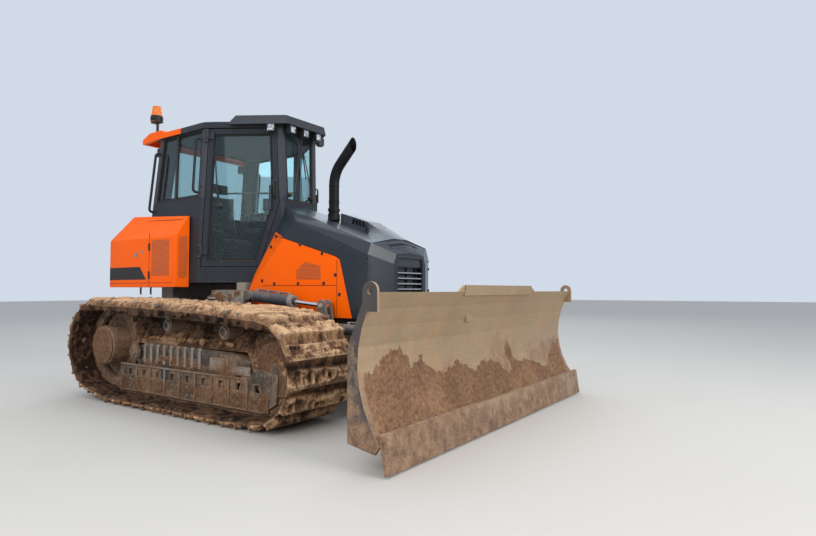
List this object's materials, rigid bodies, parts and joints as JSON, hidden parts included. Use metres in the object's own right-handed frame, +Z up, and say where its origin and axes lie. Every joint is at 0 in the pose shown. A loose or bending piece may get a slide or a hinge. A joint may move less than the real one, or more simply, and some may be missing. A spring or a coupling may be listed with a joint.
{
  "type": "crawler bulldozer",
  "caption": "Tracked dozer with a cab, a low sloping hood between wide tracks, an exhaust stack, and a straight front blade on a pushing frame with lift, angle and tilt cylinders.",
  "frame": {"origin": "centre of the overall box at ground level, midway between the tracks", "axes": "+X forward to the blade, +Y to the machine's left, +Z up"},
  "size_m": [4.75, 3.5, 3.335],
  "materials": {
    "orange_paint": "gloss",
    "grey_paint": "satin",
    "frame_paint": "satin",
    "black_paint": "matte",
    "muddy_steel": "rough",
    "worn_steel": "satin",
    "rod_chrome": "polished",
    "window_glass": "polished",
    "black_plastic": "matte",
    "amber_plastic": "gloss",
    "seat_cloth": "matte"
  },
  "bodies": {
    "root": {"track_right": "muddy_steel", "track_left": "muddy_steel", "track_frame_right": "muddy_steel", "track_frame_left": "muddy_steel", "sprockets": "muddy_steel", "idlers": "muddy_steel", "track_rollers": "muddy_steel", "main_frame": "grey_paint", "frame_shafts": "grey_paint", "cab_mounts": "grey_paint", "lift_mounts": "grey_paint", "engine_block": "black_paint", "hood_top": "grey_paint", "hood_side_right": "grey_paint", "hood_side_left": "grey_paint", "side_panel_right": "orange_paint", "side_panel_left": "orange_paint", "nose_grille": "grey_paint", "exhaust": "black_paint", "rear_body": "orange_paint", "rear_grille": "black_paint", "radiator": "black_paint", "cab_lower": "grey_paint", "cab_posts": "grey_paint", "cab_hinges": "grey_paint", "cab_roof": "grey_paint", "cab_windows": "window_glass", "roof_visor": "orange_paint", "work_lamps": "black_plastic", "beacon": "amber_plastic", "grab_rails": "black_paint", "seat_base": "black_plastic", "seat_cushions": "seat_cloth", "controls": "black_plastic"},
    "lift_frame": {"lift_frame": "frame_paint"},
    "carrier": {"blade_carrier": "frame_paint"},
    "blade": {"blade": "worn_steel", "cutting_edge": "worn_steel"},
    "lift_barrel_right": {"lift_barrel_right": "frame_paint"},
    "lift_barrel_left": {"lift_barrel_left": "frame_paint"},
    "lift_rod_right": {"lift_rod_right": "rod_chrome"},
    "lift_rod_left": {"lift_rod_left": "rod_chrome"},
    "angle_barrel_right": {"angle_barrel_right": "frame_paint"},
    "angle_barrel_left": {"angle_barrel_left": "frame_paint"},
    "angle_rod_right": {"angle_rod_right": "rod_chrome"},
    "angle_rod_left": {"angle_rod_left": "rod_chrome"},
    "tilt_barrel": {"tilt_barrel": "frame_paint"},
    "tilt_rod": {"tilt_rod": "rod_chrome"},
    "door_right": {"door_right": "grey_paint", "door_glass_right": "window_glass"},
    "door_left": {"door_left": "grey_paint", "door_glass_left": "window_glass"},
    "cooling_fan": {"cooling_fan": "black_plastic"}
  },
  "joints": [
    {"name": "blade_lift", "type": "hinge", "parent": "root", "child": "lift_frame", "pos_m": [-0.05, 0, 0.6], "axis": [0, -1, 0], "range_deg": [-13, 22]},
    {"name": "blade_angle", "type": "hinge", "parent": "lift_frame", "child": "carrier", "pos_m": [1.78, 0, 0.55], "axis": [0, 0, 1], "range_deg": [-24, 24]},
    {"name": "blade_tilt", "type": "hinge", "parent": "carrier", "child": "blade", "pos_m": [1.98, 0, 0.55], "axis": [1, 0, 0], "range_deg": [-8, 8]},
    {"name": "lift_barrel_swing_right", "type": "hinge", "parent": "root", "child": "lift_barrel_right", "pos_m": [-0.218, -0.6, 1.072], "axis": [0, -1, 0], "range_deg": [-11.07, 18.53]},
    {"name": "lift_rod_stroke_right", "type": "slide", "parent": "lift_barrel_right", "child": "lift_rod_right", "axis": [0.996, 0, -0.0896], "range_m": [-0.1821, 0.1084]},
    {"name": "lift_barrel_swing_left", "type": "hinge", "parent": "root", "child": "lift_barrel_left", "pos_m": [-0.218, 0.6, 1.072], "axis": [0, -1, 0], "range_deg": [-11.07, 18.53]},
    {"name": "lift_rod_stroke_left", "type": "slide", "parent": "lift_barrel_left", "child": "lift_rod_left", "axis": [0.996, 0, -0.0896], "range_m": [-0.1821, 0.1084]},
    {"name": "angle_barrel_swing_right", "type": "hinge", "parent": "lift_frame", "child": "angle_barrel_right", "pos_m": [0.99, -0.605, 0.772], "axis": [0, 0, 1], "range_deg": [-3.08, 3.08]},
    {"name": "angle_rod_stroke_right", "type": "slide", "parent": "angle_barrel_right", "child": "angle_rod_right", "axis": [0.9989, 0.0477, 0], "range_m": [-0.2364, 0.2364]},
    {"name": "angle_barrel_swing_left", "type": "hinge", "parent": "lift_frame", "child": "angle_barrel_left", "pos_m": [0.99, 0.605, 0.772], "axis": [0, 0, 1], "range_deg": [-3.08, 3.08]},
    {"name": "angle_rod_stroke_left", "type": "slide", "parent": "angle_barrel_left", "child": "angle_rod_left", "axis": [0.9989, -0.0477, 0], "range_m": [-0.2364, 0.2364]},
    {"name": "tilt_barrel_swing", "type": "hinge", "parent": "carrier", "child": "tilt_barrel", "pos_m": [2.031, 0.38, 0.905], "axis": [1, 0, 0], "range_deg": [-4.68, 4.68]},
    {"name": "tilt_rod_stroke", "type": "slide", "parent": "tilt_barrel", "child": "tilt_rod", "axis": [0, -0.9975, 0.0703], "range_m": [-0.0551, 0.0551]},
    {"name": "door_swing_right", "type": "hinge", "parent": "root", "child": "door_right", "pos_m": [-0.88109, -0.73721, 1.50008], "axis": [-0.037, -0.0278, -0.9989], "range_deg": [0, 120]},
    {"name": "door_swing_left", "type": "hinge", "parent": "root", "child": "door_left", "pos_m": [-0.88109, 0.73721, 1.50008], "axis": [0.037, -0.0278, 0.9989], "range_deg": [0, 120]},
    {"name": "fan_spin", "type": "hinge", "parent": "root", "child": "cooling_fan", "pos_m": [-2.14, 0, 1.422], "axis": [1, 0, 0], "continuous": true}
  ],
  "couplings": [
    {"joint": "lift_barrel_swing_right", "follows": "blade_lift", "ratio": 0.82858},
    {"joint": "lift_rod_stroke_right", "follows": "blade_lift", "m_per_rad": -0.46909},
    {"joint": "lift_barrel_swing_left", "follows": "blade_lift", "ratio": 0.82858},
    {"joint": "lift_rod_stroke_left", "follows": "blade_lift", "m_per_rad": -0.46909},
    {"joint": "angle_barrel_swing_right", "follows": "blade_angle", "ratio": 0.11579},
    {"joint": "angle_rod_stroke_right", "follows": "blade_angle", "m_per_rad": 0.55957},
    {"joint": "angle_barrel_swing_left", "follows": "blade_angle", "ratio": 0.11579},
    {"joint": "angle_rod_stroke_left", "follows": "blade_angle", "m_per_rad": -0.55957},
    {"joint": "tilt_barrel_swing", "follows": "blade_tilt", "ratio": 0.54735},
    {"joint": "tilt_rod_stroke", "follows": "blade_tilt", "m_per_rad": 0.38065}
  ]
}
